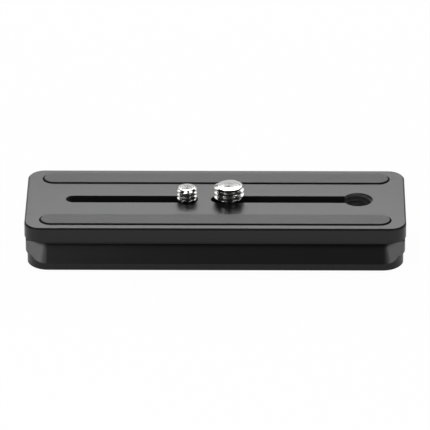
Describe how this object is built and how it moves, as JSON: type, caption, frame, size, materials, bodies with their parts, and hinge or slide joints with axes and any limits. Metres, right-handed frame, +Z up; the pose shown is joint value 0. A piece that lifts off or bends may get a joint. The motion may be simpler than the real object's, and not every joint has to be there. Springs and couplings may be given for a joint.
{
  "type": "tripod quick release plate",
  "caption": "Long camera plate with a dovetail base, rubber grip strips, two slots and captive quarter inch and three eighths screws.",
  "frame": {"origin": "centre of the rectangle that the bottom face lies in, on that face", "axes": "+X along the plate towards the tapped hole, +Y from the front strip to the rear strip, +Z up through the camera screws"},
  "size_m": [0.12, 0.0428, 0.0201],
  "materials": {
    "anodised_aluminium": "satin black anodised",
    "rubber": "matt black",
    "stainless_steel": "turned bright",
    "nylon": "matt natural"
  },
  "bodies": {
    "plate": {"plate_body": "anodised_aluminium", "front_grip_strip": "rubber", "rear_grip_strip": "rubber", "left_stop_screw": "stainless_steel", "right_stop_screw": "stainless_steel"},
    "quarter_inch_carrier": {"quarter_inch_washer": "nylon"},
    "quarter_inch_turner": {"quarter_inch_screw": "stainless_steel"},
    "three_eighths_carrier": {"three_eighths_washer": "nylon"},
    "three_eighths_turner": {"three_eighths_screw": "stainless_steel"}
  },
  "joints": [
    {"name": "quarter_inch_slide", "type": "slide", "parent": "plate", "child": "quarter_inch_carrier", "axis": [1, 0, 0], "range_m": [-0.0359, 0]},
    {"name": "quarter_inch_spin", "type": "hinge", "parent": "quarter_inch_carrier", "child": "quarter_inch_turner", "pos_m": [-0.0091, 0, 0.0125], "axis": [0, 0, 1], "continuous": true},
    {"name": "three_eighths_slide", "type": "slide", "parent": "plate", "child": "three_eighths_carrier", "axis": [1, 0, 0], "range_m": [0, 0.0408]},
    {"name": "three_eighths_spin", "type": "hinge", "parent": "three_eighths_carrier", "child": "three_eighths_turner", "pos_m": [0.0042, 0, 0.0125], "axis": [0, 0, 1], "continuous": true}
  ]
}
